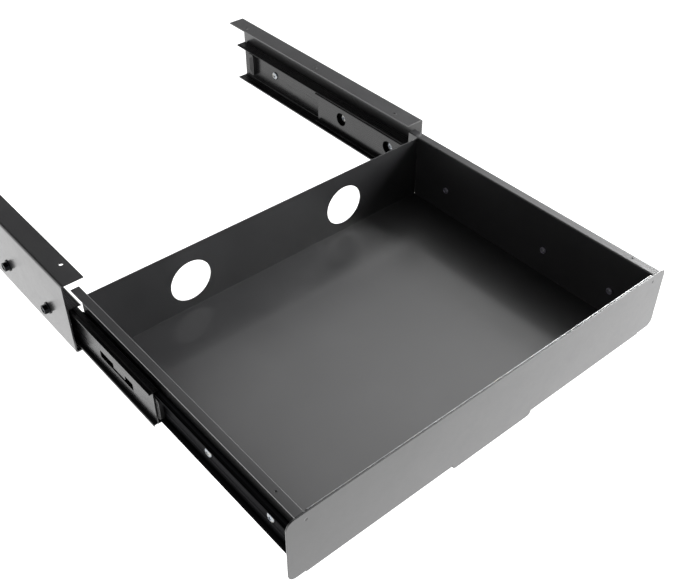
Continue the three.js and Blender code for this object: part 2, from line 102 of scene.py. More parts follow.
tray_low, tray_high = box_mm("tray")
panel_low, panel_high = box_mm("front_panel")
rail_low, rail_high = box_mm("right_cabinet_rail")
SLIDE_Z = (rail_low[2] + rail_high[2]) / 2
print("tray, mm:", size_mm("tray"))
print("slide centre line, mm:", round(SLIDE_Z, 2))

# %% [markdown]
# ## From mesh code to a piece
# Every piece is built with `bmesh`, which holds points, edges and faces while they are put together.
# Real sheet and bar never end in a perfectly sharp edge, and a sharp edge catches no light. So each
# piece gets a small bevel. Weighted normals then let the big flat faces stay flat in the shading, and
# put all of the turn into the bends and bevels.

# %% Making a piece
def flat_object(name, bm):
    bmesh.ops.recalc_face_normals(bm, faces=bm.faces)
    mesh = bpy.data.meshes.new(name)
    bm.to_mesh(mesh)
    bm.free()
    piece = bpy.data.objects.new(name, mesh)
    bpy.context.scene.collection.objects.link(piece)
    return piece


def apply_modifiers(piece):
    bpy.context.view_layer.update()
    graph = bpy.context.evaluated_depsgraph_get()
    mesh = bpy.data.meshes.new_from_object(piece.evaluated_get(graph))
    piece.modifiers.clear()
    piece.data = mesh


def boolean(piece, tools, operation="DIFFERENCE"):
    """Cuts or joins with a list of bmesh tools that don't touch each other."""
    for bm in tools:
        tool = flat_object(piece.name + "_tool", bm)
        step = piece.modifiers.new("boolean", "BOOLEAN")
        step.operation = operation
        step.solver = "EXACT"
        step.object = tool
        apply_modifiers(piece)
        bpy.data.objects.remove(tool)


def finish_piece(piece, node, material, bevel=0.25, segments=2, smooth_angle=35):
    mesh = piece.data
    mesh.transform(Matrix.Scale(MM, 4))
    mesh.materials.clear()
    mesh.materials.append(material)
    mesh.shade_smooth()
    bm = bmesh.new()
    bm.from_mesh(mesh)
    bmesh.ops.remove_doubles(bm, verts=bm.verts, dist=1e-7)
    for edge in bm.edges:
        sharp = edge.calc_face_angle(math.pi) > math.radians(smooth_angle)
        edge.smooth = not (sharp and bevel == 0)
    bm.to_mesh(mesh)
    bm.free()
    if bevel:
        step = piece.modifiers.new("edge", "BEVEL")
        step.width = bevel * MM
        step.segments = segments
        step.limit_method = "ANGLE"
        step.angle_limit = math.radians(smooth_angle)
        step.use_clamp_overlap = True
    step = piece.modifiers.new("normals", "WEIGHTED_NORMAL")
    step.keep_sharp = True
    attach(piece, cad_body(node))
    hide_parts(node)
    return piece


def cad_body(node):
    for body, nodes in frame["record"]["behaviour"]["bodies"].items():
        if node in nodes:
            return body
    raise KeyError(node)


print("bevel on sheet edges: 0.25 mm")

# %% [markdown]
# ## Folded sheet
# Brackets and rails are one section all along their length, bent or rolled from strip. A section is
# drawn as a line at mid thickness. Its corners are turned into arcs, then the thickness is put on both
# sides of it, and the result is stretched along the piece. This is how the section is dimensioned on a
# drawing too, and it keeps the sheet the same thickness round every bend.

# %% Folded sheet
ARC_STEPS = 6
MOST_OF_LEG = 0.48
LEAST_MITRE = 0.3


def fillet(corner, back, on, half, cut, radius, steps):
    """The arc that rounds a corner. back and on point along its legs, half is half their angle."""
    centre = corner + (back + on).normalized() * (radius / math.sin(half))
    start = corner + back * cut - centre
    end = corner + on * cut - centre
    sweep = start.angle_signed(end)
    points = []
    for step in range(steps + 1):
        spoke = start.copy()
        spoke.rotate(Matrix.Rotation(-sweep * step / steps, 2))
        points.append(centre + spoke)
    return points


def rounded(points, bend):
    """Turns the corners of a line into arcs of the given radius."""
    path = [Vector(points[0])]
    for before, corner, after in zip(points, points[1:], points[2:]):
        corner = Vector(corner)
        back = Vector(before) - corner
        on = Vector(after) - corner
        half = back.angle(on) / 2
        cut = min(bend / math.tan(half), MOST_OF_LEG * min(back.length, on.length))
        radius = cut * math.tan(half)
        path += fillet(corner, back.normalized(), on.normalized(), half, cut, radius, ARC_STEPS)
    path.append(Vector(points[-1]))
    return path


def two_faces(path, thickness):
    """Puts the sheet's thickness on both sides of a line."""
    faces = ([], [])
    for i, point in enumerate(path):
        into = point - path[max(i - 1, 0)]
        out = path[min(i + 1, len(path) - 1)] - point
        into = into if into.length > 1e-9 else out
        out = out if out.length > 1e-9 else into
        normals = [Vector((-d.y, d.x)).normalized() for d in (into, out)]
        mitre = (normals[0] + normals[1]).normalized()
        reach = thickness / 2 / max(mitre.dot(normals[0]), LEAST_MITRE)
        faces[0].append(point + mitre * reach)
        faces[1].append(point - mitre * reach)
    return faces


def sheet(points, thickness, bend, place, start, end):
    """A strip with this section. place(a, b, t) turns section and length into a point in the model."""
    sides = two_faces(rounded(points, bend), thickness)
    bm = bmesh.new()
    rows = [[[bm.verts.new(place(p.x, p.y, t)) for p in side] for side in sides] for t in (start, end)]
    near, far = rows
    for i in range(len(sides[0]) - 1):
        for side in (0, 1):
            bm.faces.new((near[side][i], near[side][i + 1], far[side][i + 1], far[side][i]))
        for row in rows:
            bm.faces.new((row[0][i], row[0][i + 1], row[1][i + 1], row[1][i]))
    for i in (0, len(sides[0]) - 1):
        bm.faces.new((near[0][i], near[1][i], far[1][i], far[0][i]))
    return bm


def on_side(side):
    """Section in distance from the middle plane and height above the slide's centre line."""
    return lambda u, v, y: (side * u, y, SLIDE_Z + v)


def prism(outline, place, start, end):
    """A closed outline stretched from start to end."""
    bm = bmesh.new()
    ends = [[bm.verts.new(place(a, b, t)) for a, b in outline] for t in (start, end)]
    for row in ends:
        bm.faces.new(row)
    for i in range(len(outline)):
        j = (i + 1) % len(outline)
        bm.faces.new((ends[0][i], ends[0][j], ends[1][j], ends[1][i]))
    return bm


def circle(radius, sides, centre=(0, 0), start=0.0):
    turns = [start + 2 * math.pi * i / sides for i in range(sides)]
    return [(centre[0] + radius * math.cos(t), centre[1] + radius * math.sin(t)) for t in turns]


def along_x(a, b, t):
    """Outlines drawn in Y and Z, stretched along X."""
    return (t, a, b)


def along_y(a, b, t):
    """Outlines drawn in X and Z, stretched along Y."""
    return (a, t, b)


def along_z(a, b, t):
    """Outlines drawn in X and Y, stretched along Z."""
    return (a, b, t)


print("bends are drawn in", ARC_STEPS, "steps")

# %% [markdown]
# ## How a finish is written
# A finish is a small tree of nodes that ends in one Principled shader. One function adds a node, sets
# it and links it. Another feeds values to a node that is there already. Colours are written as the hex
# values a paint card gives and turned to linear light, which is what the renderer works in. Patterns
# are placed by the piece's own coordinates in metres, so a scale of 1000 is one cell for each
# millimetre.

# %% Colour and node helpers
def linear(hex_code):
    """A colour of a paint card, such as "1b1b1c", in linear light."""
    parts = [int(hex_code[i:i + 2], 16) / 255 for i in (0, 2, 4)]
    return [c / 12.92 if c <= 0.04045 else ((c + 0.055) / 1.055) ** 2.4 for c in parts] + [1.0]


def feed(tree, node, inputs):
    """Sets a node's inputs to numbers and colours, or links them to another node's output."""
    for name, value in inputs.items():
        if isinstance(value, bpy.types.NodeSocket):
            tree.links.new(value, node.inputs[name])
        else:
            node.inputs[name].default_value = value


def add(tree, kind, inputs=None, **settings):
    node = tree.nodes.new(kind)
    for name, value in settings.items():
        setattr(node, name, value)
    feed(tree, node, inputs or {})
    return node


def start_material(name):
    material = bpy.data.materials.new(name)
    material.use_nodes = True
    tree = material.node_tree
    tree.nodes.clear()
    shader = add(tree, "ShaderNodeBsdfPrincipled")
    add(tree, "ShaderNodeOutputMaterial", {"Surface": shader.outputs[0]})
    place = add(tree, "ShaderNodeTexCoord").outputs["Object"]
    return material, tree, shader, place


def cells_per_metre(size_mm):
    return 1000 / size_mm


def noise(tree, place, size_mm, detail=2.0, roughness=0.5, stretch=(1, 1, 1)):
    """A cloudy pattern whose patches are about size_mm wide, drawn out along an axis by stretch."""
    scale = [cells_per_metre(size_mm) / s for s in stretch]
    mapped = add(tree, "ShaderNodeMapping", {"Vector": place, "Scale": scale})
    settings = {"Vector": mapped.outputs[0], "Scale": 1.0, "Detail": detail, "Roughness": roughness}
    return add(tree, "ShaderNodeTexNoise", settings).outputs["Fac"]


def between(tree, factor, low, high, start=0.3, end=0.7):
    """Turns a pattern into a number between low and high."""
    inputs = {"Value": factor, "From Min": start, "From Max": end, "To Min": low, "To Max": high}
    return add(tree, "ShaderNodeMapRange", inputs).outputs[0]


def total(tree, first, second):
    return add(tree, "ShaderNodeMath", {0: first, 1: second}, operation="ADD").outputs[0]


def colours(tree, factor, stops):
    """A colour ramp from pairs of a place between 0 and 1 and a hex colour."""
    stops = list(stops)
    ramp = add(tree, "ShaderNodeValToRGB", {"Fac": factor})
    while len(ramp.color_ramp.elements) < len(stops):
        ramp.color_ramp.elements.new(0.5)
    for element, (position, hex_code) in zip(ramp.color_ramp.elements, stops):
        element.position = position
        element.color = linear(hex_code)
    return ramp.outputs[0]


def relief(tree, shader, layers):
    """Stacks bumps: each layer is a pattern and the height in millimetres between its low and high."""
    normal = None
    for pattern, height_mm in layers:
        inputs = {"Height": pattern, "Distance": height_mm * MM, "Strength": 1.0}
        if normal:
            inputs["Normal"] = normal
        normal = add(tree, "ShaderNodeBump", inputs).outputs[0]
    feed(tree, shader, {"Normal": normal})


print("card black 1b1b1c in linear light:", [round(c, 4) for c in linear("1b1b1c")])

# %% [markdown]
# ## Black powder coat
# The tray, the front panel and the brackets are mild steel, sprayed with epoxy polyester powder and
# baked. The powder melts and flows into a smooth skin about 0.07 mm thick. It never levels perfectly:
# a faint orange peel a few millimetres wide stays, and it softens every reflection. The skin is
# nearly black, so almost everything seen in it is a mirror image of the room, stronger at a glancing
# angle. A clear coat layer over a satin base gives that: the coat carries the sharper part of the
# reflection and the base the wide haze. Finger smudges change only the roughness. A few grains of dust
# baked into the skin show as paler specks.

# %% Black powder coat
def powder_coat():
    material, tree, shader, place = start_material("black_powder_coat")
    clouds = noise(tree, place, 90, 3.0)
    flow = noise(tree, place, 7, 3.0, 0.6)
    peel = noise(tree, place, 2.4, 1.0)
    grain = noise(tree, place, 0.9, 2.0, 0.7)
    colour = colours(tree, clouds, [(0.3, "161617"), (0.52, "19191a"), (0.7, "1d1d1e")])
    specks = between(tree, noise(tree, place, 1.6, 4.0, 0.8), 0.0, 0.12, 0.66, 0.74)
    mix = add(tree, "ShaderNodeMix", {0: specks, 6: colour, 7: linear("3a3a3b")}, data_type="RGBA")
    smudges = between(tree, noise(tree, place, 34, 4.0, 0.62), 0.31, 0.36)
    rough = total(tree, smudges, between(tree, flow, -0.01, 0.02))
    feed(tree, shader, {"Base Color": mix.outputs[2], "Roughness": rough, "IOR": 1.54})
    feed(tree, shader, {"Coat Weight": 0.6, "Coat Roughness": 0.16, "Coat IOR": 1.5})
    relief(tree, shader, [(peel, 0.005), (grain, 0.002)])
    return material


POWDER = powder_coat()
print("orange peel every 2.4 mm, smudges about 34 mm wide")

# %% [markdown]
# ## Black electro coat on rolled rails
# The slides' rails are rolled from cold strip and dipped in a bath, where a current lays on a paint
# film only 0.02 mm thick. So thin a film hides nothing: the fine lines that the rolls drew along the
# strip stay visible and stretch every highlight into soft streaks along the rail. The pattern here is
# noise drawn out sixty times along the length. It is coarser than real draw lines, which are too fine
# to show from a metre away.

# %% Black electro coat
def electro_coat():
    material, tree, shader, place = start_material("black_electro_coat")
    draw_lines = noise(tree, place, 0.9, 3.0, 0.6, (1, 60, 1))
    bands = noise(tree, place, 5, 2.0, 0.5, (1, 40, 1))
    clouds = noise(tree, place, 45, 3.0)
    colour = colours(tree, bands, [(0.3, "0b0b0c"), (0.55, "111112"), (0.75, "19191b")])
    rough = total(tree, between(tree, draw_lines, 0.20, 0.34), between(tree, clouds, -0.03, 0.05))
    feed(tree, shader, {"Base Color": colour, "Roughness": rough, "IOR": 1.5})
    relief(tree, shader, [(draw_lines, 0.006), (bands, 0.012)])
    return material


E_COAT = electro_coat()
print("draw lines 0.9 mm apart, 54 mm long")

# %% [markdown]
# ## Black phosphate
# The drawer rails are phosphated and oiled instead. The bath grows a layer of fine crystals on the
# steel. They trap light between them, so the rail stays deep black even where it faces the bright
# floor, and only faint streaks show where the rolls pressed the strip smooth. The specular level is
# turned far down to say so.

# %% Black phosphate
def black_phosphate():
    material, tree, shader, place = start_material("oiled_black_phosphate")
    rolled = noise(tree, place, 2.6, 3.0, 0.6, (1, 60, 1))
    crystals = noise(tree, place, 0.6, 3.0, 0.7)
    oil = noise(tree, place, 28, 3.0)
    colour = colours(tree, rolled, [(0.3, "121213"), (0.55, "18181a"), (0.75, "222224")])
    rough = between(tree, oil, 0.46, 0.62)
    feed(tree, shader, {"Base Color": colour, "Roughness": rough, "IOR": 1.5, "Specular IOR Level": 0.04})
    relief(tree, shader, [(crystals, 0.004), (rolled, 0.012)])
    return material


PHOSPHATE = black_phosphate()
print("crystals 0.6 mm wide, coarser than real ones so that they show")

# %% [markdown]
# ## Bright zinc plate
# The screws are cold headed steel, plated with a few thousandths of a millimetre of zinc and dipped in
# a clear passivate. The metal is bright but not a mirror, with a cold blue cast that turns faintly
# yellow where the passivate is thicker. Tumbling in the plating barrel leaves fine nicks in every
# direction.

# %% Bright zinc plate
def plated(name, tone_codes, rough_low, rough_high, nick_mm, nick_height):
    """Plated or polished small steel: three tones, two roughnesses and the size of its nicks."""
    material, tree, shader, place = start_material(name)
    tones = noise(tree, place, 3.5, 3.0, 0.55)
    nicks = noise(tree, place, nick_mm, 4.0, 0.7)
    colour = colours(tree, tones, zip((0.3, 0.5, 0.72), tone_codes))
    rough = between(tree, nicks, rough_low, rough_high)
    feed(tree, shader, {"Base Color": colour, "Metallic": 1.0, "Roughness": rough})
    relief(tree, shader, [(nicks, nick_height)])
    return material


ZINC = plated("bright_zinc_plate", ["8f969f", "a9adb2", "b3ae9f"], 0.28, 0.46, 0.5, 0.004)
print("nicks on the screws 0.5 mm wide")

# %% [markdown]
# The nuts are plated with zinc too, then dyed black in the passivate. The dye takes unevenly, so the
# black carries a hint of blue and olive, and the metal below still shines through it.
#
# The balls are hardened chrome steel, ground and lapped to a mirror, under a film of grease. Their
# cages are pressed from bright strip. The clinch nuts are barrel plated and left undyed. The rough
# plating scatters what it mirrors, so they read as flat grey discs with a trace of violet.

# %% Dyed zinc, dull zinc, balls and cage strip
BLACK_ZINC = plated("black_zinc_passivate", ["17181b", "222327", "292924"], 0.32, 0.5, 0.6, 0.005)
BALL_STEEL = plated("lapped_ball_steel", ["c9ccd1", "dfe0e2", "cfc9b6"], 0.06, 0.16, 1.2, 0.001)
CAGE_STRIP = plated("pressed_cage_strip", ["9ea3aa", "b9bdc2", "c2bda9"], 0.26, 0.42, 0.8, 0.006)
DULL_ZINC = plated("dull_grey_zinc", ["74727d", "84818c", "908d96"], 0.52, 0.66, 0.7, 0.004)
print("plated finishes:", [made.name for made in (ZINC, BLACK_ZINC, BALL_STEEL, CAGE_STRIP, DULL_ZINC)])

# %% [markdown]
# ## Moulded nylon
# The buffers are injection moulded in black polyamide. The mould is spark eroded, and its fine pits
# leave a matt skin that scatters light evenly. Nylon is slightly soft, so its edges are round, and the
# ends that take the knocks are polished a little smoother.

# %% Moulded nylon
def moulded_nylon():
    material, tree, shader, place = start_material("moulded_black_nylon")
    flow = noise(tree, place, 9, 3.0, 0.55)
    pits = noise(tree, place, 0.5, 2.0, 0.6)
    colour = colours(tree, flow, [(0.3, "0c0c0d"), (0.55, "121213"), (0.75, "1a1a1b")])
    feed(tree, shader, {"Base Color": colour, "Roughness": between(tree, flow, 0.34, 0.48), "IOR": 1.53})
    relief(tree, shader, [(pits, 0.006)])
    return material


NYLON = moulded_nylon()
print("spark eroded pits 0.5 mm wide, coarser than real ones so that they show")

# %% [markdown]
# ## The tray
# The tray is one sheet of 1.2 mm steel. It is cut as a cross, and its four arms are folded up. The side
# arms are folded twice, so that a narrow flange stands out at the top, and they run on behind the back
# wall as two tails. The mesh is made the same way: one surface at mid thickness, floor first, then an
# arc and a wall on each edge. The corners stay open, as they do on the real sheet, and a Solidify
# modifier gives it thickness. A box with its inside cut out would have looked like a casting.

# %% Tray sizes and the floor
SHEET = 1.2
TRAY_BEND = 0.75
FLANGE = 9.3
TAIL = 15.2
TAIL_RISE = 6.5
TAIL_CORNER = 3
SEAM = 0.25
wall_x = tray_high[0] - FLANGE - SHEET / 2
floor_z = tray_low[2] + SHEET / 2
flange_z = tray_high[2] - SHEET / 2
front_y = tray_low[1] + SHEET / 2
back_y = tray_high[1] - TAIL - SHEET / 2
floor_x = wall_x - TRAY_BEND
wall_z = floor_z + TRAY_BEND
seam_x = wall_x - SHEET / 2 - SEAM
print("inside of the tray, mm:", round(2 * wall_x - SHEET, 1), "by", round(back_y - front_y - SHEET, 1))


class Shell:
    """A surface put together from points given by place, so that faces share them."""

    def __init__(self):
        self.bm = bmesh.new()
        self.points = {}

    def point(self, place):
        key = tuple(round(value, 4) for value in place)
        if key not in self.points:
            self.points[key] = self.bm.verts.new(place)
        return self.points[key]

    def face(self, places):
        self.bm.faces.new([self.point(place) for place in places])

    def strip(self, path, place, start, end):
        for (a, b), (c, d) in zip(path, path[1:]):
            self.face([place(a, b, start), place(c, d, start), place(c, d, end), place(a, b, end)])


def arc(centre, radius, start, end, steps=ARC_STEPS):
    turns = [math.radians(start + (end - start) * i / steps) for i in range(steps + 1)]
    return [(centre[0] + radius * math.cos(t), centre[1] + radius * math.sin(t)) for t in turns]


# %% [markdown]
# Each side arm is an arc up from the floor, a tall wall, a second arc and the flange. The wall is a
# single outline, because it is longer than the floor: it reaches forward to the panel and back as the
# tail. Its lower corners step in beside the bends, which is the relief that keeps the sheet from
# tearing when it is folded.

# %% Tray side arms
RELIEF = 1.4


def side_arm(shell, side):
    def place(a, b, t):
        return (side * a, t, b)

    low_y, high_y = front_y + TRAY_BEND, back_y - TRAY_BEND
    lower = arc((floor_x, wall_z), TRAY_BEND, -90, 0)
    shell.strip(lower, place, low_y, high_y)
    top = flange_z - TRAY_BEND
    tail_z = floor_z + TAIL_RISE
    front, rear = tray_low[1], tray_high[1]
    step_z = wall_z + RELIEF
    outline = [(low_y, wall_z), (high_y, wall_z), (high_y, step_z), (back_y + SHEET, step_z)]
    outline += [(back_y + SHEET, tail_z)]
    outline += arc((rear - TAIL_CORNER, tail_z + TAIL_CORNER), TAIL_CORNER, -90, 0)
    outline += [(rear, top), (front, top), (front, step_z), (low_y, step_z)]
    shell.face([(side * wall_x, y, z) for y, z in outline])
    upper = arc((wall_x + TRAY_BEND, top), TRAY_BEND, 180, 90)
    shell.strip(upper + [(tray_high[0], flange_z)], place, front, rear)


print("wall", round(tray_high[1] - tray_low[1], 1), "mm long with its tail, relief", RELIEF, "mm")

# %% [markdown]
# The front and back arms fit between the side walls with a hair of a gap at each seam. The front one
# is notched at its two upper ends, where it meets the flanges. Small details such as this notch tell the
# eye that the drawer is folded and not moulded.

# %% Tray front and back arms
FRONT_DROP = 0.55
BACK_DROP = 1.5
NOTCH = (1.6, 3.0)


def end_arm(shell, end_y, direction, drop, notch):
    """direction is -1 for the front and 1 for the back."""
    def place(a, b, t):
        return (t, end_y + direction * a, b)

    bend = arc((-TRAY_BEND, wall_z), TRAY_BEND, -90, 0)
    shell.strip(bend, place, -floor_x, floor_x)
    top = tray_high[2] - drop
    half = [(floor_x, wall_z), (floor_x, wall_z + RELIEF), (seam_x, wall_z + RELIEF)]
    if notch:
        notch_x, notch_z = seam_x - notch[0], top - notch[1]
        half += [(seam_x, notch_z), (notch_x, notch_z), (notch_x, top)]
    else:
        half += [(seam_x, top)]
    outline = half + [(-x, z) for x, z in reversed(half)]
    shell.face([(x, end_y, z) for x, z in outline])


shell = Shell()
floor_low, floor_high = front_y + TRAY_BEND, back_y - TRAY_BEND
floor_corners = [(-floor_x, floor_low), (floor_x, floor_low), (floor_x, floor_high), (-floor_x, floor_high)]
shell.face([(x, y, floor_z) for x, y in floor_corners])
for side in SIDES.values():
    side_arm(shell, side)
end_arm(shell, front_y, -1, FRONT_DROP, NOTCH)
end_arm(shell, back_y, 1, BACK_DROP, None)
tray = flat_object("drawer_tray", shell.bm)
thicken = tray.modifiers.new("sheet", "SOLIDIFY")
thicken.thickness = SHEET
thicken.offset = 0
thicken.use_even_offset = True
apply_modifiers(tray)
print("tray surface:", len(tray.data.polygons), "faces")

# %% [markdown]
# The round cable holes and the screw holes are cut after the sheet has its thickness, with a Boolean.
# On a flat wall that is the cleanest way to a round edge, and the bevel that follows then breaks the
# rim as a punch and a deburring brush do. The cutting tools stand out 2 or 3 mm on each side of the
# sheet, so that they cut cleanly through. A small blind dimple near the front of each flange is left
# by the press tool's locating pin.

# %% Holes in the tray
CUT = 3
SHORT_CUT = 2
CABLE_HOLE = 26.4
CABLE_HOLE_X = 112.4
CABLE_HOLE_RISE = 37.0
SCREW_NODES = [f"drawer_rail_screw_{i}" for i in (1, 2, 3)]
BOLT_NODES = [f"cabinet_rail_bolt_{i}" for i in (1, 2, 3)]


def centre_y(node):
    low, high = box_mm(node)
    return (low[1] + high[1]) / 2


def bore(radius, y, x_low, x_high, sides=32):
    return prism(circle(radius, sides, (y, SLIDE_Z)), along_x, x_low, x_high)


SCREW_Y = [centre_y("right_" + node) for node in SCREW_NODES]
BOLT_Y = [centre_y("right_" + node) for node in BOLT_NODES]
DRAWER_BORE = 2.3
BOLT_BORE = 3.3
PIN_MARK = 1.4
PIN_FOOT = 0.1
PIN_PLACE = (tray_high[0] - 4.6, tray_low[1] + 30.7)
hole_z = floor_z + SHEET / 2 + CABLE_HOLE_RISE
tools = []
for side in SIDES.values():
    outline = circle(CABLE_HOLE, 96, (side * CABLE_HOLE_X, hole_z))
    tools.append(prism(outline, along_y, back_y - CUT, back_y + CUT))
    for y in SCREW_Y:
        tools.append(bore(DRAWER_BORE, y, side * wall_x - CUT, side * wall_x + CUT))
    outline = circle(PIN_MARK, 24, (side * PIN_PLACE[0], PIN_PLACE[1]))
    tools.append(prism(outline, along_z, flange_z - PIN_FOOT, flange_z + SHORT_CUT))
boolean(tray, tools)
finish_piece(tray, "tray", POWDER, bevel=0.22)
print("screws at, mm:", [round(y, 1) for y in SCREW_Y], "bolts at:", [round(y, 1) for y in BOLT_Y])

# %% [markdown]
# A painted highlight runs along the top edge of the front wall: a thin strip of light metal colour
# stands in for the light that the edge catches. It shows as a thin bright line that stops short of the
# side walls. A colour change at an edge needs its own surface, so the painted highlight is a thin strip of
# its own that rests on the wall.

# %% Painted highlight on the front edge
EDGE_HALF = 231.8
EDGE_RISE = 0.4
EDGE_WIDTH = 1.0
# Painted highlight: a light metal colour on a thin strip along the front wall's top edge.
PAINTED_HIGHLIGHT_METAL = plated("painted_edge_highlight", ["707173", "7e7f80", "787670"], 0.36, 0.5, 0.4, 0.003)
edge_z = tray_high[2] - FRONT_DROP
edge_top = edge_z + EDGE_RISE
edge_front, edge_back = front_y - EDGE_WIDTH / 2, front_y + EDGE_WIDTH / 2
corners = [(edge_front, edge_z), (edge_back, edge_z), (edge_back, edge_top), (edge_front, edge_top)]
# The thin strip that carries the painted highlight, resting on the front wall's top edge.
highlight_strip = flat_object("painted_highlight_strip", prism(corners, along_x, -EDGE_HALF, EDGE_HALF))
finish_piece(highlight_strip, "tray", PAINTED_HIGHLIGHT_METAL, bevel=0.18)
print("painted highlight strip, mm:", 2 * EDGE_HALF, "long,", EDGE_RISE, "high")

# %% [markdown]
# ## The front panel
# A flat plate of 1.5 mm steel with round corners hides the ends of the slides. A wide tab hangs from
# the middle of its lower edge, and fingers pull the drawer by it. The plate is an outline with every
# corner rounded, stretched to its thickness. Near each end a shallow mark shows where the panel is
# spot welded to the tray behind it. The marks are real hollows, cut with a very flat ball, because a
# painted dot would not catch the light.

# %% Front panel
PANEL_HEIGHT = 80.8
PANEL_CORNER = 9.0
TAB_HALF = 56.0
TAB_CORNER = 5.0
SHOULDER = 1.2
WELD_PLACE = (234.5, 9.0)
WELD_RADIUS = 2.1
WELD_DEPTH = 0.45


def round_corners(corners, steps=8):
    """A closed outline. Each corner is a place and a radius."""
    outline = []
    for i, (x, y, radius) in enumerate(corners):
        corner = Vector((x, y))
        back = (Vector(corners[i - 1][:2]) - corner).normalized()
        on = (Vector(corners[(i + 1) % len(corners)][:2]) - corner).normalized()
        if radius == 0:
            outline.append((x, y))
            continue
        half = back.angle(on) / 2
        arc_points = fillet(corner, back, on, half, radius / math.tan(half), radius, steps)
        outline += [tuple(point) for point in arc_points]
    return outline


panel_x = panel_high[0]
panel_top = panel_high[2]
panel_foot = panel_top - PANEL_HEIGHT
right_half = [(TAB_HALF, panel_low[2], TAB_CORNER), (TAB_HALF, panel_foot, SHOULDER),
              (panel_x, panel_foot, PANEL_CORNER), (panel_x, panel_top, PANEL_CORNER)]
left_half = [(-x, z, radius) for x, z, radius in reversed(right_half)]
panel_outline = round_corners(right_half + left_half)
panel = flat_object("drawer_front", prism(panel_outline, along_y, panel_low[1], panel_high[1]))


def flat_ball(x, y, z, radius, depth):
    """A ball so large that it only dents a plate by depth over the given radius."""
    ball_radius = (radius ** 2 + depth ** 2) / (2 * depth)
    bm = bmesh.new()
    bmesh.ops.create_icosphere(bm, subdivisions=5, radius=ball_radius)
    bmesh.ops.translate(bm, verts=bm.verts, vec=(x, y - ball_radius + depth, z))
    return bm


weld_z = panel_top - WELD_PLACE[1]
for side in SIDES.values():
    dent = flat_ball(side * WELD_PLACE[0], panel_low[1], weld_z, WELD_RADIUS, WELD_DEPTH)
    boolean(panel, [dent])
finish_piece(panel, "front_panel", POWDER, bevel=0.35, segments=3, smooth_angle=50)
print("front panel, mm:", round(2 * panel_x, 1), "by", PANEL_HEIGHT)

# %% [markdown]
# ## The brackets
# Each bracket is a channel bent from 1.6 mm steel. Its top flange screws up into the desk, its plate
# carries the slide, and a narrow bottom flange stiffens it. All of it is one section, so it is made
# with the folded sheet function, and six holes are cut through it.

# %% Brackets
BRACKET_SHEET = 1.6
BRACKET_BEND = 2.4
BOTTOM_FLANGE = 16.4
DESK_HOLE = 2.5
DESK_HOLE_EDGE = 8.0
DESK_HOLE_END = 33.0


def bracket(name, side):
    low, high = box_mm("right_bracket")
    half = BRACKET_SHEET / 2
    plate = high[0] - half
    path = [(low[0], high[2] - half), (plate, high[2] - half), (plate, low[2] + half),
            (high[0] - BOTTOM_FLANGE, low[2] + half)]
    bm = sheet(path, BRACKET_SHEET, BRACKET_BEND, lambda u, z, y: (side * u, y, z), low[1], high[1])
    piece = flat_object(name + "_channel_bracket", bm)
    tools = [bore(BOLT_BORE, y, side * plate - CUT, side * plate + CUT) for y in BOLT_Y]
    hole_x = side * (low[0] + DESK_HOLE_EDGE)
    for y in (low[1] + DESK_HOLE_END, (low[1] + high[1]) / 2, high[1] - DESK_HOLE_END):
        outline = circle(DESK_HOLE, 32, (hole_x, y))
        tools.append(prism(outline, along_z, high[2] - CUT, high[2] + SHORT_CUT))
    boolean(piece, tools)
    finish_piece(piece, name + "_bracket", POWDER, bevel=0.3)


both_sides(bracket)
print("bracket sheet", BRACKET_SHEET, "mm, bent to", BRACKET_BEND, "mm at mid thickness")

# %% [markdown]
# ## The drawer rail
# This is the innermost rail of the slide, and it is screwed to the tray's wall. It is a C of 1.2 mm
# strip with the phosphate finish. A shallow groove along each arm is the race that the inner balls run
# in, and two beads rolled along the web make it stiff. Points are given as distance from the middle
# plane and height above the slide's centre line, for the right side.

# %% Drawer rail
RAIL_SHEET = 1.2
DRAWER_WEB = 236.6
DRAWER_BEND = 1.6


def mirror_down(points):
    return points + [(u, -v) for u, v in reversed(points)]


def stretch_rail(name, node, points, thickness, bend, side):
    low, high = box_mm(node)
    bm = sheet(points, thickness, bend, on_side(side), low[1], high[1])
    return flat_object(name, bm)


RACE = [(243.8, 17.15), (242.5, 16.4), (239.9, 16.4), (238.6, 17.15), (DRAWER_WEB, 17.15)]
BEAD = [(DRAWER_WEB, 11.4), (237.5, 10.1), (237.5, 8.1), (DRAWER_WEB, 6.8)]
DRAWER_RAIL = mirror_down(RACE + BEAD)


def drawer_rail(name, side):
    node = name + "_drawer_rail"
    web = side * DRAWER_WEB
    piece = stretch_rail(name + "_inner_slide_rail", node, DRAWER_RAIL, RAIL_SHEET, DRAWER_BEND, side)
    boolean(piece, [bore(DRAWER_BORE, y, web - SHORT_CUT, web + SHORT_CUT) for y in SCREW_Y])
    finish_piece(piece, node, PHOSPHATE, bevel=0.2)


both_sides(drawer_rail)
print("drawer rail, mm:", size_mm("right_drawer_rail"))

# %% [markdown]
# ## The middle rail
# The middle rail floats between the other two. It is rolled to an I: its arms turn in around the inner
# balls on one side and carry the outer balls on the other. Strip can't branch, so the real one folds
# back on itself. Here two arms and a web are made as sheets and joined with a Boolean, which hides
# that fold inside the metal. A slot near the front holds a stop tongue, and two round openings let a
# driver through to the bolts behind.

# %% Middle rail
MIDDLE_WEB = 245.5
MIDDLE_WEB_HALF = 21.5
MIDDLE_BEND = 0.9
INNER_LIP = [(239.4, 20.8), (239.8, 21.7), (240.7, 21.9), (245.0, 21.9)]
OUTER_LIP = [(246.3, 21.3), (250.0, 21.3), (250.0, 23.2)]
SLOT_START = 42.0
SLOT_LENGTH = 65.0
SLOT_HEIGHT = 10.0
SLOT_Z = SLIDE_Z - 4.0
SLOT_CORNER = 2
TONGUE_START = 15.0
TONGUE_LENGTH = 23.0
TONGUE_DROP = 6.0
TONGUE_ROOT = 0.6
TONGUE_TIP = 1
ACCESS = 9.5


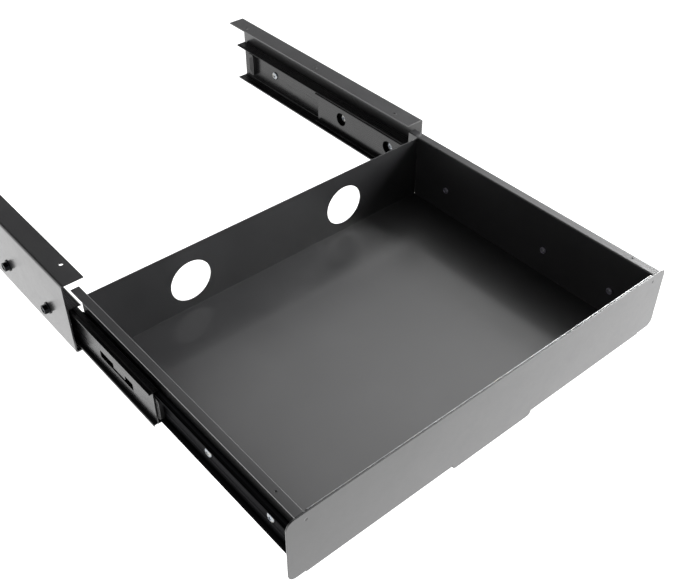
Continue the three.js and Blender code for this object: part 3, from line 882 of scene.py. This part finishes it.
def slot_tool(side, start):
    """The slot's outline, which runs round the tongue that hangs from its upper edge."""
    close = start + SLOT_LENGTH
    begin, end = start + TONGUE_START, start + TONGUE_START + TONGUE_LENGTH
    top, foot = SLOT_Z + SLOT_HEIGHT / 2, SLOT_Z - SLOT_HEIGHT / 2
    tip = top - TONGUE_DROP
    corners = [(start, foot, SLOT_CORNER), (close, foot, SLOT_CORNER), (close, top, SLOT_CORNER)]
    corners += [(end, top, TONGUE_ROOT), (end, tip, TONGUE_TIP)]
    corners += [(begin, tip, TONGUE_TIP), (begin, top, TONGUE_ROOT), (start, top, SLOT_CORNER)]
    web = side * MIDDLE_WEB
    return prism(round_corners(corners, 4), along_x, web - SHORT_CUT, web + SHORT_CUT)


def middle_rail(name, side):
    node = name + "_middle_rail"
    low, high = box_mm(node)
    path = [(MIDDLE_WEB, MIDDLE_WEB_HALF), (MIDDLE_WEB, -MIDDLE_WEB_HALF)]
    piece = stretch_rail(name + "_middle_slide_rail", node, path, RAIL_SHEET, MIDDLE_BEND, side)
    arms = []
    for sign in ROWS.values():
        arm = [(u, sign * v) for u, v in INNER_LIP + OUTER_LIP]
        arms.append(sheet(arm, RAIL_SHEET, MIDDLE_BEND, on_side(side), low[1], high[1]))
    boolean(piece, arms, "UNION")
    tools = [slot_tool(side, low[1] + SLOT_START)]
    web = side * MIDDLE_WEB
    tools += [bore(ACCESS, y, web - SHORT_CUT, web + SHORT_CUT, 48) for y in BOLT_Y[:2]]
    boolean(piece, tools)
    finish_piece(piece, node, E_COAT, bevel=0.18)


both_sides(middle_rail)
print("middle rail, mm:", size_mm("right_middle_rail"))

# %% [markdown]
# ## The cabinet rail
# The outermost rail is a deep C of 1.5 mm strip, bolted to the bracket. Its long arms reach round the
# middle rail, and the outer balls run in their corners.

# %% Cabinet rail
CABINET_SHEET = 1.5
CABINET_WEB = 252.75
CABINET_BEND = 1.8
CABINET_RAIL = mirror_down([(237.4, 25.9), (237.9, 26.7), (238.8, 26.95), (CABINET_WEB, 26.95)])


def cabinet_rail(name, side):
    node = name + "_cabinet_rail"
    web = side * CABINET_WEB
    piece = stretch_rail(name + "_outer_slide_rail", node, CABINET_RAIL, CABINET_SHEET, CABINET_BEND, side)
    boolean(piece, [bore(BOLT_BORE, y, web - SHORT_CUT, web + SHORT_CUT) for y in BOLT_Y])
    finish_piece(piece, node, E_COAT, bevel=0.22)


both_sides(cabinet_rail)
print("cabinet rail, mm:", size_mm("right_cabinet_rail"))

# %% [markdown]
# ## Turned pieces
# Screws and nuts are round about their own axis, so they are made by turning a profile. The profile
# lists radius and distance along the axis. A screw thread is the same idea with one change: the radius
# rises and falls with the angle plus the distance along the axis, which makes a true helix and not a
# stack of rings.

# %% Turning and threads
TURN_STEPS = 36


def turn(profile, side, y, steps=TURN_STEPS, thread=None):
    """Turns a profile of (radius, u) about the line through y on the slides' centre line.

    thread is (pitch, depth, first row, last row): between those rows the radius follows a helix.
    """
    bm = bmesh.new()
    rows = []
    for index, (radius, u) in enumerate(profile):
        if radius == 0:
            rows.append([bm.verts.new((side * u, y, SLIDE_Z))])
            continue
        row = []
        for step in range(steps):
            angle = 2 * math.pi * step / steps
            reach = radius
            if thread and thread[2] <= index <= thread[3]:
                phase = (abs(u) / thread[0] + step / steps) % 1
                reach -= thread[1] * abs(2 * phase - 1)
            turned_y, turned_z = y + reach * math.cos(angle), SLIDE_Z + reach * math.sin(angle)
            row.append(bm.verts.new((side * u, turned_y, turned_z)))
        rows.append(row)
    for near, far in zip(rows, rows[1:]):
        for i in range(steps):
            j = (i + 1) % steps
            corners = [near[i % len(near)], near[j % len(near)], far[j % len(far)], far[i % len(far)]]
            bm.faces.new(list(dict.fromkeys(corners)))
    if rows[0] is not rows[-1] and len(rows[0]) > 1 and len(rows[-1]) > 1:
        for i in range(steps):
            j = (i + 1) % steps
            bm.faces.new((rows[-1][i], rows[-1][j], rows[0][j], rows[0][i]))
    return bm


def shank(radius, start, end, pitch):
    """Rows of a threaded shank, six to each turn of the thread."""
    count = max(int(abs(end - start) / pitch * 6), 6)
    return [(radius, start + (end - start) * i / count) for i in range(count + 1)]


print("threads: M4 with 0.7 mm pitch, M6 with 1 mm pitch")

# %% [markdown]
# ## Screws and bolts
# Both are cold headed: a low round head with a cross recess. The recess is cut with a cross that
# narrows towards its foot, as the punch that makes it does. The crown of the head is a list of shares
# of the head's radius and of its height, so one list serves both sizes.

# %% Screws and bolts
CROWN = [(0, 0), (0.45, 0.02), (0.7, 0.12), (0.88, 0.32), (0.97, 0.6), (1, 0.85)]
UNDERSIDE = 0.985
CROSS_WIDTH, CROSS_REACH, CROSS_DEPTH = 0.24, 0.56, 0.85
THREAD_GAPS = (0.3, 0.5)
TIP = 0.78
TRAY_SCREW = {"head_u": 239.5, "seat_u": 237.5, "end_u": 233.0, "head": 5.2, "radius": 2.0,
              "pitch": 0.7, "depth": 0.3}
RAIL_BOLT = {"head_u": 249.6, "seat_u": 251.7, "end_u": 260.9, "head": 5.8, "radius": 3.0,
             "pitch": 1.0, "depth": 0.4}


def cross_tool(side, y, head_u, inward, width, reach, depth):
    """A tapering cross: two blades at right angles, wide at the head and narrow inside it."""
    tools = []
    for turned in (0, 1):
        bm = bmesh.new()
        rings = []
        for share, swell in ((-0.4, 1.15), (1.0, 0.35)):
            u = head_u + inward * depth * share
            ring = []
            for a, b in ((-1, -1), (1, -1), (1, 1), (-1, 1)):
                long, short = a * reach * swell, b * width / 2 * (0.6 + 0.4 * swell)
                across_y, across_z = (long, short) if turned else (short, long)
                ring.append(bm.verts.new((side * u, y + across_y, SLIDE_Z + across_z)))
            rings.append(ring)
        for ring in rings:
            bm.faces.new(ring)
        for i in range(4):
            j = (i + 1) % 4
            bm.faces.new((rings[0][i], rings[0][j], rings[1][j], rings[1][i]))
        tools.append(bm)
    return tools


def screw(name, node, side, y, head_u, seat_u, end_u, head, radius, pitch, depth):
    """head_u is the crown, seat_u the head's underside and end_u the thread's end."""
    way = 1 if end_u > head_u else -1
    rise = abs(seat_u - head_u)
    crown = [(head * out, head_u + way * rise * down) for out, down in CROWN]
    crown.append((head * UNDERSIDE, seat_u))
    threaded = shank(radius, seat_u + way * THREAD_GAPS[0], end_u - way * THREAD_GAPS[1], pitch)
    profile = crown + [(radius, seat_u)] + threaded + [(radius * TIP, end_u), (0, end_u)]
    first = len(crown) + 2
    thread = (pitch, depth, first, first + len(threaded) - 3)
    piece = flat_object(name, turn(profile, side, y, thread=thread))
    cross = cross_tool(side, y, head_u, way, head * CROSS_WIDTH, head * CROSS_REACH, rise * CROSS_DEPTH)
    boolean(piece, cross)
    finish_piece(piece, node, ZINC, bevel=0.0, smooth_angle=40)


def screws_and_bolts(name, side):
    for index, (node, y) in enumerate(zip(SCREW_NODES, SCREW_Y), 1):
        screw(f"{name}_tray_screw_{index}", f"{name}_{node}", side, y, **TRAY_SCREW)
    for index, (node, y) in enumerate(zip(BOLT_NODES, BOLT_Y), 1):
        screw(f"{name}_bracket_bolt_{index}", f"{name}_{node}", side, y, **RAIL_BOLT)


both_sides(screws_and_bolts)
print("screws:", 2 * (len(SCREW_Y) + len(BOLT_Y)))

# %% [markdown]
# ## Nuts
# A flange nut is a hexagon with a washer forged to it. Its outer corners are cut back by a cone, which
# leaves the curved chamfer that every hexagon nut shows. So the nut is the part that a hexagonal prism
# and a turned blank have in common, joined to its flange.

# %% Flange nuts
NUT_SEAT = 255.7
NUT_FLATS = 10.0
NUT_TOP = 261.7
NUT_FLANGE = 7.1
NUT_CHAMFER = 1.0
NUT_CROWN = 0.84
FLANGE_RISE = 1.25
FLANGE_RIM = (0.25, 0.7)
BORE_LESS = 0.1


def flange_nut(name, node, side, y):
    corner = NUT_FLATS / math.sqrt(3)
    start, end = side * (NUT_SEAT - 1), side * (NUT_TOP + 1)
    foot, wide = NUT_SEAT + 0.5, corner + 0.4
    blank = [(0, foot), (wide, foot), (wide, NUT_TOP - NUT_CHAMFER)]
    blank += [(corner * NUT_CROWN, NUT_TOP), (0, NUT_TOP)]
    piece = flat_object(name, turn(blank, side, y, steps=72))
    hexagon = circle(corner, 6, (y, SLIDE_Z), math.pi / 6)
    boolean(piece, [prism(hexagon, along_x, start, end)], "INTERSECT")
    flange = [(0, NUT_SEAT), (NUT_FLANGE - 0.2, NUT_SEAT)]
    flange += [(NUT_FLANGE, NUT_SEAT + rim) for rim in FLANGE_RIM]
    flange += [(corner, NUT_SEAT + FLANGE_RISE), (0, NUT_SEAT + FLANGE_RISE)]
    boolean(piece, [turn(flange, side, y, steps=72)], "UNION")
    boolean(piece, [bore(BOLT_BORE - BORE_LESS, y, start, end, 48)])
    finish_piece(piece, node, BLACK_ZINC, bevel=0.1, smooth_angle=28)


for name, side in SIDES.items():
    for index, y in enumerate(BOLT_Y, 1):
        flange_nut(f"{name}_bracket_nut_{index}", f"{name}_flange_nut_{index}", side, y)
print("flange nuts:", 2 * len(BOLT_Y), "across flats, mm:", NUT_FLATS)

# %% [markdown]
# The clinch nuts are plain round collars, pressed into the tray's wall from the inside until the sheet
# grips them. They are turned as a ring: the profile goes round the metal and never touches the axis,
# so the bore stays open. The small steps at its corners are the breaks that a lathe leaves.

# %% Clinch nuts
CLINCH_INNER = 232.6
CLINCH_OUTER = 234.2
CLINCH_RADIUS = 4.0
CLINCH_BREAK = 0.35


def clinch_nut(name, node, side, y):
    inner, outer = CLINCH_INNER, CLINCH_OUTER
    r = CLINCH_RADIUS
    profile = [(DRAWER_BORE + CLINCH_BREAK, inner), (r - CLINCH_BREAK, inner), (r - 0.1, inner + 0.15)]
    profile += [(r, inner + 0.4), (r, outer), (DRAWER_BORE, outer), (DRAWER_BORE, inner + CLINCH_BREAK)]
    piece = flat_object(name, turn(profile, side, y))
    finish_piece(piece, node, DULL_ZINC, bevel=0.0, smooth_angle=40)


for name, side in SIDES.items():
    for index, y in enumerate(SCREW_Y, 1):
        clinch_nut(f"{name}_wall_nut_{index}", f"{name}_clinch_nut_{index}", side, y)
print("clinch nuts:", 2 * len(SCREW_Y))

# %% [markdown]
# ## Ball cages
# The balls would bunch together if nothing held them apart. A pressed strip with a round pocket for
# each ball does that. Its outline swells round every pocket like a string of beads. The balls are
# separate shells, a hair smaller than their pockets, because on the real slide they turn freely.

# %% Ball cages
BALL = 2.0
POCKET_RING = 2.5
BALL_SPACING = 8.0
CAGE_BAR = 1.1
CAGE_THICK = 0.7
POCKET_PLAY = 0.08


def beaded_strip(u, start, end, places):
    swell = math.degrees(math.asin(CAGE_BAR / POCKET_RING))
    right = [(u + CAGE_BAR, start)]
    for y in places:
        right += arc((u, y), POCKET_RING, -90 + swell, 90 - swell, 8)
    right.append((u + CAGE_BAR, end))
    return right + [(2 * u - a, b) for a, b in reversed(right)]


def ball_cage(name, node, side, ball_u, ball_v, strip_v):
    low, high = box_mm(node)
    count = int((high[1] - low[1]) / BALL_SPACING)
    pitch = (high[1] - low[1]) / count
    places = [low[1] + pitch * (i + 0.5) for i in range(count)]
    z = SLIDE_Z + strip_v
    outline = beaded_strip(side * ball_u, low[1], high[1], places)
    strip = prism(outline, along_z, z - CAGE_THICK / 2, z + CAGE_THICK / 2)
    piece = flat_object(name + "_cage", strip)
    pocket = math.sqrt(BALL ** 2 - (strip_v - ball_v) ** 2) + POCKET_PLAY
    pockets = bmesh.new()
    for y in places:
        spot = Matrix.Translation((side * ball_u, y, z))
        bmesh.ops.create_cone(pockets, cap_ends=True, segments=24, radius1=pocket, radius2=pocket,
                              depth=2 * BALL, matrix=spot)
    boolean(piece, [pockets])
    finish_piece(piece, node, CAGE_STRIP, bevel=0.08, segments=1)
    balls = bmesh.new()
    for y in places:
        spot = Matrix.Translation((side * ball_u, y, SLIDE_Z + ball_v))
        bmesh.ops.create_icosphere(balls, subdivisions=3, radius=BALL, matrix=spot)
    piece = flat_object(name + "_balls", balls)
    finish_piece(piece, node, BALL_STEEL, bevel=0.0, smooth_angle=60)
    return count


# Each row of balls: distance out, height of the balls and height of their strip.
CAGES = {"inner": (241.2, 19.15, 19.15), "outer": (247.6, 24.05, 24.85)}
ball_count = 0
for name, side in SIDES.items():
    for row, sign in ROWS.items():
        for kind, (u, ball_v, strip_v) in CAGES.items():
            node = f"{name}_{kind}_ball_cage_{row}"
            ball_count += ball_cage(f"{name}_{kind}_{row}", node, side, u, sign * ball_v, sign * strip_v)
print("balls:", ball_count)

# %% [markdown]
# ## Buffers
# A nylon block on the front of each middle rail meets the panel when the drawer closes, and one at the
# back of each cabinet rail stops the middle rail. Solid nylon would hit hard. So thin upright slots run
# through each block behind its striking face, and the bars left between them bend like leaf springs.
# The blocks are outlines with round corners, with the slots cut as smaller outlines of the same shape.

# %% Buffers
LEAF = 1.6
LEAF_GAP = 1.3
GAP_CORNER = 0.6
GAP_SHORTER = 2
CORNER_SHARE = 0.35


def upright(start, end, middle, half, corner, steps):
    """A rectangle with round corners, standing about a middle height."""
    ends = [(start, -half), (end, -half), (end, half), (start, half)]
    return round_corners([(y, middle + rise, corner) for y, rise in ends], steps)


def buffer(name, node, corner, slots):
    low, high = box_mm(node)
    middle, half = (low[2] + high[2]) / 2, (high[2] - low[2]) / 2
    outline = upright(low[1], high[1], middle, half, corner, 8)
    piece = flat_object(name, prism(outline, along_x, low[0], high[0]))
    tools = []
    for i in range(slots):
        start = low[1] + LEAF + i * (LEAF_GAP + LEAF)
        reach = half - LEAF - corner * CORNER_SHARE - GAP_SHORTER * i
        slot = upright(start, start + LEAF_GAP, middle, reach, GAP_CORNER, 4)
        tools.append(prism(slot, along_x, low[0] - 1, high[0] + 1))
    boolean(piece, tools)
    finish_piece(piece, node, NYLON, bevel=0.4, segments=3)


for name in SIDES:
    buffer(name + "_front_stop", name + "_front_buffer", 5.0, 2)
    buffer(name + "_rear_stop", name + "_rear_buffer", 3.0, 3)
print("buffers: 4, leaf and gap, mm:", LEAF, LEAF_GAP)

# %% [markdown]
# ## Room and light
# Black satin paint has little colour of its own. What the eye reads as its shape is the room mirrored
# in it. So the room is built for the mirror images first. The floor is a light table: it glows evenly,
# and the upright faces mirror it. The sky is bright near the horizon and dim above, so the walls inside
# the tray, which mirror the sky or each other, stay dark. One large soft box hangs high on the right and
# faces straight down. The tray's floor mirrors a part of it, and its edge makes the gradient across the
# floor. A smaller and much stronger soft box stands low on the right. The tray's right wall shades a part
# of the floor and of the back wall from it, and that soft shadow shows how deep the tray is. A weak box
# on the left keeps the bolts inside the right slide from going black.

# %% Room and light
FLOOR_DROP = 0.6
FLOOR_SIZE = 30
TABLE_GLOW = 1.4
HORIZON_GLOW = 1.5
ZENITH_GLOW = 0.08
HORIZON_END = 0.15
ZENITH_START = 0.42
OVERHEAD = {"place": (1.35, -0.15, 1.1), "size": (2.1, 1.8), "radiance": 1.75}
FILL = {"place": (1.8, -0.75, 0.62), "size": (1.4, 1.2), "radiance": 62.0}
LEFT = {"place": (-2.2, -0.5, 1.0), "size": (1.0, 0.8), "radiance": 3.0}
AIM = (0, -0.35, -0.06)


def studio_floor():
    bm = bmesh.new()
    bmesh.ops.create_grid(bm, x_segments=1, y_segments=1, size=FLOOR_SIZE)
    bmesh.ops.translate(bm, verts=bm.verts, vec=(0, 0, -FLOOR_DROP))
    mesh = bpy.data.meshes.new("studio_floor")
    bm.to_mesh(mesh)
    bm.free()
    floor = bpy.data.objects.new("studio_floor", mesh)
    material, tree, shader, _ = start_material("glowing_white_floor")
    feed(tree, shader, {"Base Color": linear("303030"), "Roughness": 0.9})
    feed(tree, shader, {"Emission Color": linear("ffffff"), "Emission Strength": TABLE_GLOW})
    mesh.materials.append(material)
    bpy.context.scene.collection.objects.link(floor)


def sky():
    world = bpy.data.worlds.new("studio_sky")
    bpy.context.scene.world = world
    world.use_nodes = True
    tree = world.node_tree
    background = tree.nodes["Background"]
    direction = add(tree, "ShaderNodeTexCoord").outputs["Generated"]
    height = add(tree, "ShaderNodeSeparateXYZ", {"Vector": direction}).outputs["Z"]
    glow = between(tree, height, HORIZON_GLOW, ZENITH_GLOW, HORIZON_END, ZENITH_START)
    feed(tree, background, {"Color": linear("ffffff"), "Strength": glow})


def soft_box(name, place, aim, size, radiance):
    """A flat lamp. Its power follows from its area and the brightness wanted."""
    data = bpy.data.lights.new(name, "AREA")
    data.shape = "RECTANGLE"
    data.size, data.size_y = size
    data.energy = math.pi * size[0] * size[1] * radiance
    light = bpy.data.objects.new(name, data)
    light.location = place
    light.rotation_euler = (Vector(aim) - Vector(place)).to_track_quat("-Z", "Y").to_euler()
    light.visible_camera = False
    bpy.context.scene.collection.objects.link(light)


studio_floor()
sky()
below = (OVERHEAD["place"][0], OVERHEAD["place"][1], 0)
soft_box("overhead_soft_box", OVERHEAD["place"], below, OVERHEAD["size"], OVERHEAD["radiance"])
soft_box("side_soft_box", FILL["place"], AIM, FILL["size"], FILL["radiance"])
soft_box("left_soft_box", LEFT["place"], AIM, LEFT["size"], LEFT["radiance"])
bpy.context.scene.view_settings.view_transform = "Standard"
print("floor glow:", TABLE_GLOW, "sky:", HORIZON_GLOW, "to", ZENITH_GLOW)
print("soft boxes:", [lamp["radiance"] for lamp in (OVERHEAD, FILL, LEFT)])
